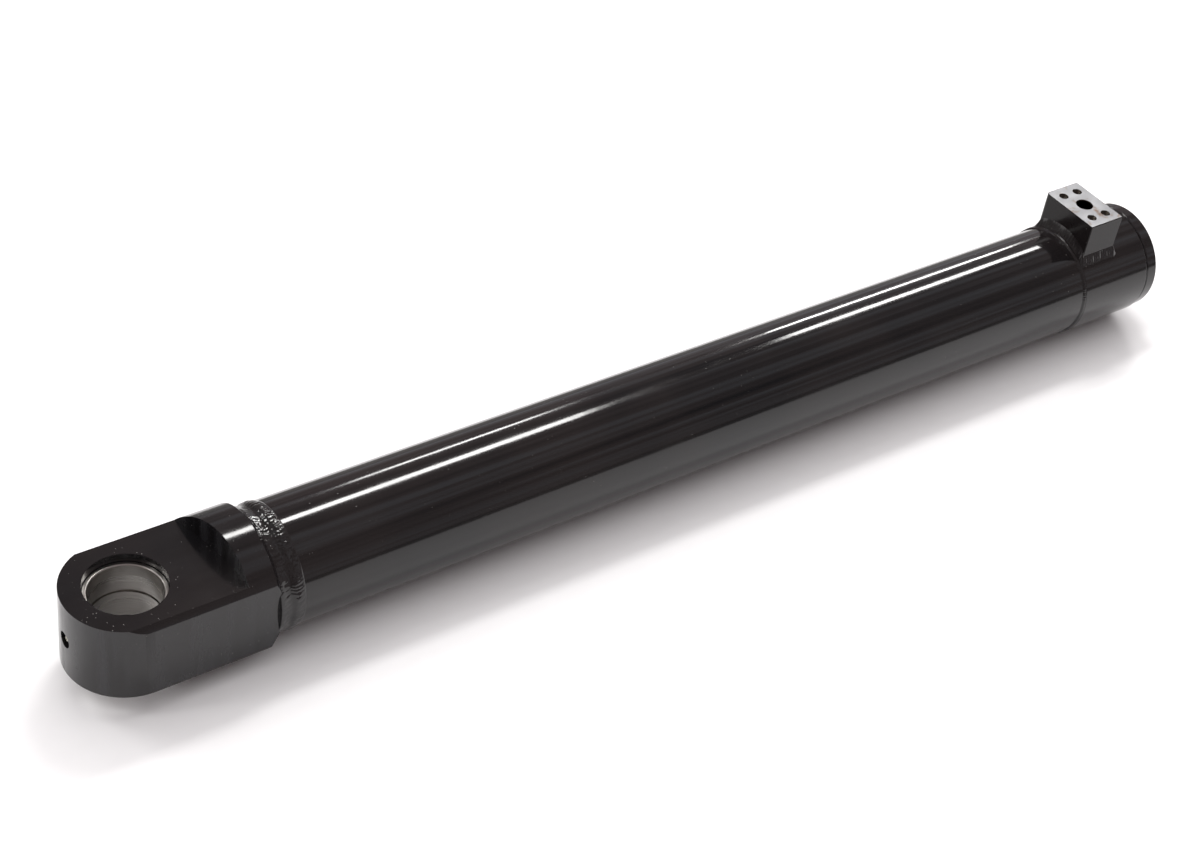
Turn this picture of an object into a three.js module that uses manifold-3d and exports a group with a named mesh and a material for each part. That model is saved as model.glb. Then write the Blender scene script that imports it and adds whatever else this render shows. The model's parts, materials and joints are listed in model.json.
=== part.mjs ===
// Double-acting hydraulic cylinder for heavy equipment, lying along X.
// A bushed base eye is welded to one end of the tube. A thicker head collar is
// welded to the other end and carries a four-bolt port block and a screwed-in
// gland. The piston rod slides through the gland and can turn about its axis.
// Units are millimetres. X is the cylinder's axis, Z is the base pin's axis and
// the origin is the centre of the base eye's pin bore.

import * as THREE from 'three';
import { mergeVertices } from 'three/addons/utils/BufferGeometryUtils.js';
import Module from 'manifold-3d';

const wasm = await Module();
wasm.setup();

// Driving dimensions

const gap = 0.3;
const runningGap = 0.15;

const tube = {
  outerR: 63.5,
  boreR: 55,
  start: 132.5,
  end: 1195.5,
  weldPrep: 13.5,
  weldRoot: 2.5,
  endChamfer: 2,
};

const eye = {
  halfWidth: 61.4,
  halfThickness: 43,
  forgingR: 71,
  flatTip: 96.9,
  millR: 330,
  millY: -53,
  end: 128.5,
  endR: 67,
  spigotEnd: 158,
  spigotOverlap: 4,
  pinBoreR: 40,
  rimChamfer: 0.5,
};

const bushing = {
  boreR: 35,
  halfLength: 33.5,
  chamfer: 1.2,
  grooveHalf: 1.5,
  grooveDepth: 1.5,
  oilHoleR: 2,
  oilHoleSides: 12,
};

const grease = {
  counterboreR: 8.5,
  counterboreDepth: 13,
  threadR: 5,
  threadLength: 7,
  hexR: 5.8,
  hexLength: 4,
  stemR: 2.9,
  nippleR: 3.2,
  nippleTipR: 2.2,
  nippleLength: 11,
  wayR: 0.9,
  sides: 16,
};

const port = {
  boreR: 9.5,
  boltR: 5,
  boltDepth: 22,
  boltAxial: 22.2,
  boltAcross: 47.6,
  mouthChamfer: 1,
  headX: 1225,
  capX: 92,
};

const block = { axial: 50.6, across: 77.8, faceZ: 101, cornerR: 5, edge: 0.8 };

// The bead that joins the base eye to the tube: how far it laps on to the tube,
// how far its crown stands above the tube, and where the crown lies.
const baseBead = {
  lap: 19,
  crown: 2.5,
  crownStart: 9,
  crownEnd: 17,
  toe: 13,
  rootGap: 2.8,
  eyeStep: 0.5,
};

// The narrow bead that fills the groove between the tube and the head collar.
const collarBead = { lap: 1.6, rootDrop: 1.7, toeDrop: 0.6 };

const fillet = { leg: 6, tubeSideLeg: 2.8, sink: 1, steps: 10, cornerSteps: 5 };

const collar = {
  outerR: 65.5,
  start: 1196.5,
  end: 1300,
  threadR: 58,
  threadStart: 1256,
  threadRunIn: 3,
  chamfer: 1.5,
  edge: 0.8,
};

const gland = {
  noseR: 49.5,
  noseStart: 1208,
  sealStart: 1240,
  flangeR: 63.8,
  flangeStart: 1302,
  end: 1318.5,
  boreR: 38,
  spannerHoleR: 4,
  spannerCircleR: 53,
  spannerDepth: 8,
  spannerHoles: 4,
  threadRelief: 4,
  reliefDepth: 2,
  edge: 1.5,
};

const rod = {
  r: 37.5,
  seatR: 24,
  start: 165,
  end: 1337,
  chamfer: 2,
  tapR: 20,
  tapDepth: 60,
  flatsHalf: 32.5,
  flatsLength: 13,
};

const piston = { start: 187, end: 245, r: 54.4, chamfer: 2 };

const nut = {
  start: 167,
  acrossFlats: 75,
  screwR: 3,
  screwSocketR: 1.7,
  screwSocketDepth: 3,
  screwDrop: 0.8,
};

// A ring's groove: axial centre, width, and radius of the groove's floor.
const glandGrooves = {
  rod_wear_band_inner: { x: 1220, width: 12, floorR: 40.5 },
  rod_buffer_seal: { x: 1237, width: 6, floorR: 43.5 },
  rod_seal: { x: 1262, width: 9, floorR: 44.5 },
  rod_wear_band_outer: { x: 1281, width: 14, floorR: 40.5 },
};
const wiperSeat = { width: 8, floorR: 44 };
const wiper = {
  lipOut: 1.2,
  lipBack: 3,
  lipWall: 1.6,
  shoulder: 3.6,
  rootClear: 1.5,
  bodyClear: 1.2,
  drop: 0.4,
};
const glandORingSection = { r: 2.2, shift: -1.7 };
const backupRing = { startShift: 1.2, endShift: 4 };
const pistonORingSectionR = 1.45;
const oRingSides = 6;
const glandOuterGroove = { x: 1248, width: 8.6, floorR: 50.2 };
const pistonGrooves = {
  piston_wear_ring_rear: { x: 197, width: 10, floorR: 51.5 },
  piston_seal: { x: 216, width: 9, floorR: 47 },
  piston_wear_ring_front: { x: 235, width: 10, floorR: 51.5 },
};
const sealDepth = 3;
const pistonBoreGroove = { x: 206, width: 5, floorR: 27.6 };

// The gland's lock screw stands at this angle about X, counted from +Y towards +Z.
const lockScrew = { x: 1291, angle: -0.68, r: 4, socketR: 2.3, socketDepth: 3.2, drop: 0.8 };

const fineSegments = 64;
const mediumSegments = 48;
const coarseSegments = 36;
const holeSegments = 20;
const smallHoleSegments = 12;
const socketSides = 6;
const millSegments = 160;

// Materials

function material(color, roughness, metalness) {
  return new THREE.MeshStandardMaterial({ color, roughness, metalness });
}

const blackPaint = material(0x141416, 0.16, 0.1);
const weldPaint = material(0x1b1b1d, 0.25, 0.15);
const machinedSteel = material(0xb9b8b4, 0.34, 1);
const bushingSteel = material(0x8f8a80, 0.32, 1);
const chrome = material(0xd6d8da, 0.08, 1);
const darkSteel = material(0x4a4b4e, 0.45, 0.9);
const zincSteel = material(0xa7a58f, 0.35, 0.9);
const blackRubber = material(0x161616, 0.75, 0);
const redPolyurethane = material(0x8c1d1a, 0.5, 0);
const bluePolyurethane = material(0x1f3f73, 0.5, 0);
const bronzePtfe = material(0x7a5a34, 0.55, 0.2);
const phenolic = material(0x6f7a4c, 0.6, 0);

// Solids

function solid(geometry) {
  const bare = geometry.clone();
  bare.deleteAttribute('normal');
  bare.deleteAttribute('uv');
  const merged = mergeVertices(bare, 1e-4);
  const position = merged.getAttribute('position').array;
  const triangles = [];
  for (let i = 0; i < merged.index.count; i += 3) {
    const [a, b, c] = [0, 1, 2].map((k) => merged.index.getX(i + k));
    if (a !== b && b !== c && c !== a) triangles.push([a, b, c]);
  }
  const corner = (i) => new THREE.Vector3().fromArray(position, 3 * i);
  const volume = triangles.reduce((sum, t) => sum + corner(t[0]).dot(corner(t[1]).cross(corner(t[2]))), 0);
  const outward = volume > 0 ? triangles : triangles.map(([a, b, c]) => [a, c, b]);
  return new wasm.Manifold(new wasm.Mesh({
    numProp: 3,
    vertProperties: Float32Array.from(position),
    triVerts: Uint32Array.from(outward.flat()),
  }));
}

function meshOf(name, body, surface) {
  const { vertProperties, triVerts, numProp } = body.getMesh();
  const corners = new Float32Array(triVerts.length * 3);
  triVerts.forEach((vertex, i) => {
    for (let k = 0; k < 3; k++) corners[3 * i + k] = vertProperties[vertex * numProp + k];
  });
  const geometry = new THREE.BufferGeometry();
  geometry.setAttribute('position', new THREE.BufferAttribute(corners, 3));
  geometry.computeVertexNormals();
  const mesh = new THREE.Mesh(geometry, surface.clone());
  mesh.name = name;
  return mesh;
}

// A profile is a list of [axial, radius] points. One that leaves the axis and
// comes back to it is a shaft, and any other closes on itself as a ring.
function turned(profile, segments) {
  const points = profile.map(([axial, radius]) => new THREE.Vector2(radius, axial));
  const onAxis = profile[0][1] === 0;
  if (!onAxis) points.push(points[0].clone());
  return new THREE.LatheGeometry(points, segments);
}

function alongX(geometry) {
  return geometry.rotateZ(-Math.PI / 2);
}

function turnedAlongX(profile, segments) {
  return solid(alongX(turned(profile, segments)));
}

function turnedAlongZ(profile, segments) {
  return solid(turned(profile, segments).rotateX(Math.PI / 2));
}

function shaft(start, end, radius, segments) {
  return turnedAlongX([[start, 0], [start, radius], [end, radius], [end, 0]], segments);
}

function ring(start, end, innerR, outerR, segments) {
  return turnedAlongX([[start, innerR], [end, innerR], [end, outerR], [start, outerR]], segments);
}

// A ring with a rounded section, such as an O-ring or a seal lip.
function roundRing(centre, sectionR, ringR, sides) {
  const profile = [];
  for (let i = 0; i < sides; i++) {
    const turn = (2 * Math.PI * i) / sides;
    profile.push([centre + sectionR * Math.cos(turn), ringR + sectionR * Math.sin(turn)]);
  }
  return turnedAlongX(profile, coarseSegments);
}

function extruded(shape, depth, curveSegments) {
  return new THREE.ExtrudeGeometry(shape, { depth, bevelEnabled: false, curveSegments });
}

function drill(radius, from, to, segments = holeSegments) {
  const axis = new THREE.Vector3().subVectors(to, from);
  const geometry = new THREE.CylinderGeometry(radius, radius, axis.length(), segments);
  geometry.translate(0, axis.length() / 2, 0);
  const turn = new THREE.Quaternion().setFromUnitVectors(new THREE.Vector3(0, 1, 0), axis.normalize());
  geometry.applyQuaternion(turn);
  return solid(geometry.translate(from.x, from.y, from.z));
}

// A chamfer cutter: a cone that opens the mouth of a hole by the given size.
function countersink(radius, size, mouth, inward) {
  const geometry = new THREE.CylinderGeometry(radius + 2 * size, radius - size, 3 * size, holeSegments);
  const turn = new THREE.Quaternion().setFromUnitVectors(new THREE.Vector3(0, -1, 0), inward);
  geometry.applyQuaternion(turn);
  const centre = mouth.clone().addScaledVector(inward, size / 2);
  return solid(geometry.translate(centre.x, centre.y, centre.z));
}

// The four tapped holes and the central bore of a split-flange port. The face
// point lies on the port face, and across is the direction of the wide spacing.
function cutFlangePort(body, face, inward, across, boreDepth) {
  const axial = new THREE.Vector3(1, 0, 0);
  const outside = -2;
  let cut = body;
  const hole = (centre, radius, depth) => {
    const from = centre.clone().addScaledVector(inward, outside);
    const to = centre.clone().addScaledVector(inward, depth);
    cut = cut.subtract(drill(radius, from, to));
    cut = cut.subtract(countersink(radius, port.mouthChamfer, centre, inward));
  };
  hole(face, port.boreR, boreDepth);
  for (const i of [-1, 1]) {
    for (const j of [-1, 1]) {
      const centre = face.clone()
        .addScaledVector(axial, (i * port.boltAxial) / 2)
        .addScaledVector(across, (j * port.boltAcross) / 2);
      hole(centre, port.boltR, port.boltDepth);
    }
  }
  return cut;
}

// Base eye

function eyeOutline(reach) {
  const shape = new THREE.Shape();
  shape.moveTo(eye.end, -eye.halfWidth);
  shape.lineTo(0, -eye.halfWidth);
  shape.absarc(0, 0, eye.halfWidth, -Math.PI / 2, Math.PI / 2, true);
  shape.lineTo(eye.end, eye.halfWidth);
  return solid(extruded(shape, 2 * reach, 32).translate(0, 0, -reach));
}

// The lug's section behind its milled flats: straight sides between two round
// faces of the forging, the upper one meeting the sides and the lower one inset.
function eyeSection() {
  const flatEdge = Math.sqrt(eye.forgingR ** 2 - eye.halfThickness ** 2);
  const edgeZ = Math.sqrt(eye.forgingR ** 2 - eye.halfWidth ** 2);
  const sideTurn = Math.atan2(edgeZ, eye.halfWidth);
  const flatTurn = Math.atan2(eye.halfThickness, flatEdge);
  const shape = new THREE.Shape();
  shape.moveTo(-eye.halfWidth, -eye.halfThickness);
  shape.lineTo(-flatEdge, -eye.halfThickness);
  shape.absarc(0, 0, eye.forgingR, Math.PI + flatTurn, 2 * Math.PI - flatTurn, false);
  shape.lineTo(eye.halfWidth, -eye.halfThickness);
  shape.lineTo(eye.halfWidth, edgeZ);
  shape.absarc(0, 0, eye.forgingR, sideTurn, Math.PI - sideTurn, false);
  const geometry = extruded(shape, eye.end + 2 * eye.halfWidth, 24);
  geometry.rotateX(Math.PI / 2).rotateZ(Math.PI / 2);
  return solid(geometry.translate(-2 * eye.halfWidth, 0, 0));
}

// The cutter that mills one flat and leaves a step in front of the weld.
function flatCutter(side) {
  const depth = eye.forgingR + 1 - eye.halfThickness;
  const cutter = new THREE.CylinderGeometry(eye.millR, eye.millR, depth, millSegments);
  cutter.rotateX(Math.PI / 2);
  const level = side * (eye.halfThickness + depth / 2);
  return solid(cutter.translate(eye.flatTip - eye.millR, eye.millY, level));
}

// The turned bevel that takes the corners off the weld end of the lug.
function eyeEndBevel() {
  const cornerR = Math.hypot(eye.halfWidth, eye.halfThickness) + 1;
  const start = -eye.halfWidth - 1;
  return turnedAlongX([
    [start, 0],
    [start, cornerR],
    [eye.end - cornerR + eye.endR, cornerR],
    [eye.end, eye.endR],
    [eye.end, 0],
  ], fineSegments);
}

function baseEye() {
  const forging = eyeOutline(eye.forgingR + 1).intersect(eyeSection()).intersect(eyeEndBevel());
  const lug = forging.subtract(flatCutter(1)).subtract(flatCutter(-1));
  const spigot = shaft(eye.end - eye.spigotOverlap, eye.spigotEnd, tube.boreR - gap, fineSegments);
  let body = lug.add(spigot);
  const reach = eye.halfThickness;
  body = body.subtract(turnedAlongZ([
    [-reach - 1, 0],
    [-reach - 1, eye.pinBoreR + eye.rimChamfer + 1],
    [-reach + eye.rimChamfer, eye.pinBoreR],
    [reach - eye.rimChamfer, eye.pinBoreR],
    [reach + 1, eye.pinBoreR + eye.rimChamfer + 1],
    [reach + 1, 0],
  ], fineSegments));
  const nose = -eye.halfWidth;
  const pocketEnd = nose + grease.counterboreDepth;
  body = body.subtract(shaft(nose - 1, pocketEnd, grease.counterboreR, holeSegments));
  body = body.subtract(shaft(nose, -eye.pinBoreR + 1, grease.threadR, holeSegments));
  const face = new THREE.Vector3(port.capX, eye.halfWidth, 0);
  const inward = new THREE.Vector3(0, -1, 0);
  body = cutFlangePort(body, face, inward, new THREE.Vector3(0, 0, 1), eye.halfWidth + port.boreR);
  return body.subtract(shaft(port.capX, eye.spigotEnd + 1, port.boreR, holeSegments));
}

function eyeBushing() {
  const outerR = eye.pinBoreR - gap;
  const { boreR, halfLength, chamfer, grooveHalf, grooveDepth, oilHoleR, oilHoleSides } = bushing;
  const body = turnedAlongZ([
    [-halfLength, outerR],
    [-halfLength, boreR + chamfer],
    [-halfLength + chamfer, boreR],
    [-grooveHalf, boreR],
    [-grooveHalf, boreR + grooveDepth],
    [grooveHalf, boreR + grooveDepth],
    [grooveHalf, boreR],
    [halfLength - chamfer, boreR],
    [halfLength, boreR + chamfer],
    [halfLength, outerR],
  ], mediumSegments);
  return body.subtract(shaft(-eye.pinBoreR - 1, eye.pinBoreR + 1, oilHoleR, oilHoleSides));
}

function greaseFitting() {
  const seat = -eye.halfWidth + grease.counterboreDepth - gap;
  const tip = seat + gap - grease.nippleLength;
  const threadEnd = seat + gap + grease.threadLength;
  const threadR = grease.threadR - gap;
  const stem = turnedAlongX([
    [tip, 0],
    [tip, grease.nippleTipR],
    [tip + 1.2, grease.nippleR],
    [tip + 2.6, grease.nippleR],
    [tip + 4.2, grease.nippleTipR],
    [tip + 6, grease.stemR],
    [seat, grease.stemR],
    [seat, threadR],
    [threadEnd, threadR],
    [threadEnd, 0],
  ], grease.sides);
  const hexagon = new THREE.CylinderGeometry(grease.hexR, grease.hexR, grease.hexLength, 6);
  hexagon.rotateZ(Math.PI / 2).translate(seat - grease.hexLength / 2, 0, 0);
  const body = stem.add(solid(hexagon));
  return body.subtract(shaft(tip - 1, threadEnd + 1, grease.wayR, 8));
}

// Tube, collar and their welds

function barrelTube() {
  return turnedAlongX([
    [tube.start, tube.boreR],
    [tube.end, tube.boreR],
    [tube.end, tube.outerR - tube.endChamfer],
    [tube.end - tube.endChamfer, tube.outerR],
    [tube.start + tube.weldPrep, tube.outerR],
    [tube.start, tube.boreR + tube.weldRoot],
  ], fineSegments);
}

function baseWeld() {
  const start = eye.end + gap;
  const crownR = tube.outerR + baseBead.crown;
  const rootR = tube.boreR + baseBead.rootGap;
  return turnedAlongX([
    [start, rootR],
    [tube.start - gap, rootR],
    [tube.start + baseBead.toe, tube.outerR + gap],
    [tube.start + baseBead.lap, tube.outerR + gap],
    [tube.start + baseBead.crownEnd, crownR],
    [tube.start + baseBead.crownStart, crownR],
    [start, tube.outerR - baseBead.eyeStep],
  ], fineSegments);
}

function collarWeld() {
  const rootR = tube.outerR - collarBead.rootDrop;
  return turnedAlongX([
    [tube.end - collarBead.lap, tube.outerR + gap],
    [tube.end + gap, rootR],
    [collar.start - gap, rootR],
    [collar.start - gap, collar.outerR - collarBead.toeDrop],
  ], fineSegments);
}

function headCollar() {
  const body = turnedAlongX([
    [collar.start, tube.boreR],
    [collar.threadStart, tube.boreR],
    [collar.threadStart + collar.threadRunIn, collar.threadR],
    [collar.end, collar.threadR],
    [collar.end, collar.outerR - collar.chamfer],
    [collar.end - collar.chamfer, collar.outerR],
    [collar.start + collar.edge, collar.outerR],
    [collar.start, collar.outerR - collar.edge],
  ], fineSegments);
  const top = new THREE.Vector3(port.headX, 0, collar.outerR + 1);
  const inside = new THREE.Vector3(port.headX, 0, tube.boreR - 4);
  return body.subtract(drill(port.boreR, inside, top)).subtract(lockScrewHole());
}

function lockScrewAxis(radius) {
  const { x, angle } = lockScrew;
  return new THREE.Vector3(x, radius * Math.cos(angle), radius * Math.sin(angle));
}

function lockScrewHole() {
  return drill(lockScrew.r + gap, lockScrewAxis(collar.threadR - 2), lockScrewAxis(collar.outerR + 1));
}

function glandLockScrew() {
  const headR = collar.outerR - lockScrew.drop;
  const body = drill(lockScrew.r, lockScrewAxis(collar.threadR + gap), lockScrewAxis(headR));
  const from = lockScrewAxis(headR - lockScrew.socketDepth);
  const socket = drill(lockScrew.socketR, from, lockScrewAxis(collar.outerR + 1), socketSides);
  return body.subtract(socket);
}

// Port block

function blockOutline() {
  const [x, y, r] = [block.axial / 2, block.across / 2, block.cornerR];
  const shape = new THREE.Shape();
  shape.moveTo(-x, -y);
  shape.lineTo(x, -y);
  shape.lineTo(x, y);
  shape.absarc(-x + r, y - r, r, Math.PI / 2, Math.PI, false);
  return shape;
}

function portBlock() {
  const foot = Math.sqrt(collar.outerR ** 2 - (block.across / 2) ** 2) - 2;
  const height = block.faceZ - foot - block.edge;
  const geometry = new THREE.ExtrudeGeometry(blockOutline(), {
    depth: height,
    bevelThickness: block.edge,
    bevelSize: block.edge,
    bevelOffset: -block.edge,
    bevelSegments: 1,
    curveSegments: 5,
  });
  const body = solid(geometry.translate(port.headX, 0, foot)).subtract(blockSeat());
  const face = new THREE.Vector3(port.headX, 0, block.faceZ);
  return cutFlangePort(body, face, new THREE.Vector3(0, 0, -1), new THREE.Vector3(0, 1, 0), block.faceZ);
}

// What is cut away under the block and its weld to clear the collar.
function blockSeat() {
  return shaft(collar.start - 1, collar.end, collar.outerR + gap, fineSegments);
}

// The fillet weld around the block's foot: a three-cornered section carried
// round the block's outline on the collar's surface.
function portBlockWeld() {
  const sections = blockWeldPath().map(({ point, outward, leg }) => {
    const wall = point.clone().addScaledVector(outward, gap);
    const toe = point.clone().addScaledVector(outward, leg);
    const root = onCollar(wall);
    return [root, onCollar(toe), root.clone().setZ(root.z + fillet.leg)];
  });
  return solid(closedSweep(sections)).subtract(blockSeat());
}

function blockWeldPath() {
  const [x, y, r] = [block.axial / 2, block.across / 2, block.cornerR];
  const path = [];
  const side = (from, to, outward, leg = fillet.leg) => {
    for (let i = 0; i <= fillet.steps; i++) {
      path.push({ point: from.clone().lerp(to, i / fillet.steps), outward, leg });
    }
  };
  const at = (u, v) => new THREE.Vector2(u, v);
  side(at(-x, -y), at(x, -y), at(0, -1));
  side(at(x, -y), at(x, y), at(1, 0));
  side(at(x, y), at(-x + r, y), at(0, 1));
  for (let i = 1; i < fillet.cornerSteps; i++) {
    const part = i / fillet.cornerSteps;
    const turn = (Math.PI / 2) * (1 + part);
    const outward = at(Math.cos(turn), Math.sin(turn));
    const leg = THREE.MathUtils.lerp(fillet.leg, fillet.tubeSideLeg, part);
    path.push({ point: at(-x + r, y - r).addScaledVector(outward, r), outward, leg });
  }
  side(at(-x, y - r), at(-x, -y), at(-1, 0), fillet.tubeSideLeg);
  return path;
}

function onCollar(point) {
  const surfaceR = collar.outerR - fillet.sink;
  return new THREE.Vector3(port.headX + point.x, point.y, Math.sqrt(surfaceR ** 2 - point.y ** 2));
}

function closedSweep(sections) {
  const sides = sections[0].length;
  const triangles = [];
  sections.forEach((section, i) => {
    const next = sections[(i + 1) % sections.length];
    for (let k = 0; k < sides; k++) {
      const m = (k + 1) % sides;
      triangles.push(section[k], next[k], next[m], section[k], next[m], section[m]);
    }
  });
  const geometry = new THREE.BufferGeometry().setFromPoints(triangles);
  geometry.setIndex([...triangles.keys()]);
  return geometry;
}

// Gland and its seals

function insideGroove({ x, width, floorR }, boreR) {
  return [[x - width / 2, boreR], [x - width / 2, floorR], [x + width / 2, floorR], [x + width / 2, boreR]];
}

function glandBody() {
  const outer = glandOuterGroove;
  const sealR = tube.boreR - gap;
  const threadR = collar.threadR - gap;
  const body = turnedAlongX([
    [gland.noseStart, gland.boreR],
    ...Object.values(glandGrooves).flatMap((groove) => insideGroove(groove, gland.boreR)),
    [gland.end - wiperSeat.width, gland.boreR],
    [gland.end - wiperSeat.width, wiperSeat.floorR],
    [gland.end, wiperSeat.floorR],
    [gland.end, gland.flangeR - gland.edge],
    [gland.end - gland.edge, gland.flangeR],
    [gland.flangeStart, gland.flangeR],
    [gland.flangeStart, threadR - gland.reliefDepth],
    [collar.end - gland.threadRelief, threadR - gland.reliefDepth],
    [collar.end - gland.threadRelief, threadR],
    [collar.threadStart + gland.threadRelief, threadR],
    [collar.threadStart + gland.threadRelief, sealR],
    [outer.x + outer.width / 2, sealR],
    [outer.x + outer.width / 2, outer.floorR],
    [outer.x - outer.width / 2, outer.floorR],
    [outer.x - outer.width / 2, sealR],
    [gland.sealStart, sealR],
    [gland.sealStart, gland.noseR],
    [gland.noseStart, gland.noseR],
  ], coarseSegments);
  let drilled = body;
  for (let i = 0; i < gland.spannerHoles; i++) {
    const turn = (2 * Math.PI * (i + 0.5)) / gland.spannerHoles;
    const [y, z] = [gland.spannerCircleR * Math.cos(turn), gland.spannerCircleR * Math.sin(turn)];
    const from = new THREE.Vector3(gland.end + 1, y, z);
    const to = new THREE.Vector3(gland.end - gland.spannerDepth, y, z);
    drilled = drilled.subtract(drill(gland.spannerHoleR, from, to, smallHoleSegments));
  }
  return drilled;
}

// A ring that fills a gland groove and reaches in to the rod.
function glandRing({ x, width, floorR }) {
  const innerR = rod.r + 2 * runningGap;
  return ring(x - width / 2 + gap, x + width / 2 - gap, innerR, floorR - gap, coarseSegments);
}

function wiperSeal() {
  const start = gland.end - wiperSeat.width + gap;
  const lip = gland.end + wiper.lipOut;
  const lipR = rod.r + 2 * runningGap;
  return turnedAlongX([
    [start, lipR + wiper.rootClear],
    [lip - wiper.lipBack, lipR + wiper.bodyClear],
    [lip, lipR],
    [lip, lipR + wiper.lipWall],
    [gland.end - wiper.drop, lipR + wiper.shoulder],
    [gland.end - wiper.drop, wiperSeat.floorR - gap],
    [start, wiperSeat.floorR - gap],
  ], coarseSegments);
}

function glandORing() {
  const { r, shift } = glandORingSection;
  return roundRing(glandOuterGroove.x + shift, r, tube.boreR - r - runningGap, oRingSides);
}

function glandBackupRing() {
  const start = glandOuterGroove.x + backupRing.startShift;
  const end = glandOuterGroove.x + backupRing.endShift;
  return ring(start, end, glandOuterGroove.floorR + gap, tube.boreR - gap, coarseSegments);
}

// Rod, piston and their rings

function pistonRod() {
  const body = turnedAlongX([
    [rod.start, 0],
    [rod.start, rod.seatR - rod.chamfer],
    [rod.start + rod.chamfer, rod.seatR],
    [piston.end, rod.seatR],
    [piston.end, rod.r - rod.chamfer],
    [piston.end + rod.chamfer, rod.r],
    [rod.end - rod.chamfer, rod.r],
    [rod.end, rod.r - rod.chamfer],
    [rod.end, rod.tapR + rod.chamfer],
    [rod.end - rod.chamfer, rod.tapR],
    [rod.end - rod.tapDepth, rod.tapR],
    [rod.end - rod.tapDepth, 0],
  ], mediumSegments);
  const flats = new THREE.BoxGeometry(rod.flatsLength + 1, 2 * rod.flatsHalf, 3 * rod.r);
  const envelope = new THREE.BoxGeometry(rod.flatsLength + 1, 3 * rod.r, 3 * rod.r);
  const centreX = rod.end + 0.5 - rod.flatsLength / 2;
  const trim = solid(envelope.translate(centreX, 0, 0)).subtract(solid(flats.translate(centreX, 0, 0)));
  return body.subtract(trim);
}

function outsideGroove({ x, width, floorR }, r) {
  return [[x - width / 2, r], [x - width / 2, floorR], [x + width / 2, floorR], [x + width / 2, r]];
}

function pistonBody() {
  const start = piston.start + gap;
  const end = piston.end - gap;
  const boreR = rod.seatR + gap;
  const groove = pistonBoreGroove;
  return turnedAlongX([
    [start, boreR],
    [start, piston.r - piston.chamfer],
    [start + piston.chamfer, piston.r],
    ...Object.values(pistonGrooves).flatMap((each) => outsideGroove(each, piston.r)),
    [end - piston.chamfer, piston.r],
    [end, piston.r - piston.chamfer],
    [end, boreR],
    [groove.x + groove.width / 2, boreR],
    [groove.x + groove.width / 2, groove.floorR],
    [groove.x - groove.width / 2, groove.floorR],
    [groove.x - groove.width / 2, boreR],
  ], coarseSegments);
}

// A ring that fills a piston groove and reaches out to the tube.
function pistonRing({ x, width, floorR }, depth) {
  const outerR = tube.boreR - 2 * runningGap;
  const innerR = depth === undefined ? floorR + gap : outerR - depth;
  return ring(x - width / 2 + gap, x + width / 2 - gap, innerR, outerR, coarseSegments);
}

function sealEnergizer() {
  const { x, width, floorR } = pistonGrooves.piston_seal;
  const outerR = tube.boreR - 2 * runningGap - sealDepth - gap;
  return ring(x - width / 2 + 2 * gap, x + width / 2 - 2 * gap, floorR + gap, outerR, coarseSegments);
}

function pistonORing() {
  const r = pistonORingSectionR;
  return roundRing(pistonBoreGroove.x, r, rod.seatR + gap + r, oRingSides);
}

function pistonNut() {
  const cornerR = nut.acrossFlats / Math.sqrt(3);
  const length = piston.start - nut.start;
  const hexagon = new THREE.CylinderGeometry(cornerR, cornerR, length, 6).rotateZ(Math.PI / 2);
  const body = solid(hexagon.translate(nut.start + length / 2, 0, 0));
  const bore = shaft(nut.start - 1, piston.start + 1, rod.seatR + gap, coarseSegments);
  return body.subtract(bore).subtract(nutScrew(nut.screwR + gap, rod.seatR - 1, nut.acrossFlats));
}

function nutScrew(radius, fromR, toR) {
  const x = (nut.start + piston.start) / 2;
  return drill(radius, new THREE.Vector3(x, fromR, 0), new THREE.Vector3(x, toR, 0));
}

function nutSetScrew() {
  const face = nut.acrossFlats / 2 - nut.screwDrop;
  const x = (nut.start + piston.start) / 2;
  const from = new THREE.Vector3(x, face - nut.screwSocketDepth, 0);
  const socket = drill(nut.screwSocketR, from, new THREE.Vector3(x, face + 1, 0), socketSides);
  return nutScrew(nut.screwR, rod.seatR + 2 * gap, face).subtract(socket);
}

// Assembly

const barrel = new THREE.Group();
barrel.add(
  meshOf('base_eye', baseEye(), blackPaint),
  meshOf('eye_bushing', eyeBushing(), bushingSteel),
  meshOf('grease_fitting', greaseFitting(), zincSteel),
  meshOf('base_weld', baseWeld(), weldPaint),
  meshOf('barrel_tube', barrelTube(), blackPaint),
  meshOf('collar_weld', collarWeld(), weldPaint),
  meshOf('head_collar', headCollar(), blackPaint),
  meshOf('port_block', portBlock(), blackPaint),
  meshOf('port_block_weld', portBlockWeld(), weldPaint),
  meshOf('gland', glandBody(), blackPaint),
  meshOf('gland_lock_screw', glandLockScrew(), darkSteel),
  meshOf('gland_o_ring', glandORing(), blackRubber),
  meshOf('gland_backup_ring', glandBackupRing(), bronzePtfe),
  meshOf('wiper_seal', wiperSeal(), bluePolyurethane),
);

const glandRingSurfaces = {
  rod_wear_band_inner: phenolic,
  rod_buffer_seal: bronzePtfe,
  rod_seal: redPolyurethane,
  rod_wear_band_outer: phenolic,
};
for (const [name, surface] of Object.entries(glandRingSurfaces)) {
  barrel.add(meshOf(name, glandRing(glandGrooves[name]), surface));
}

const pistonRings = new THREE.Group();
pistonRings.add(
  meshOf('piston_wear_ring_rear', pistonRing(pistonGrooves.piston_wear_ring_rear), phenolic),
  meshOf('piston_wear_ring_front', pistonRing(pistonGrooves.piston_wear_ring_front), phenolic),
  meshOf('piston_seal', pistonRing(pistonGrooves.piston_seal, sealDepth), bronzePtfe),
  meshOf('piston_seal_energizer', sealEnergizer(), blackRubber),
);

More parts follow.
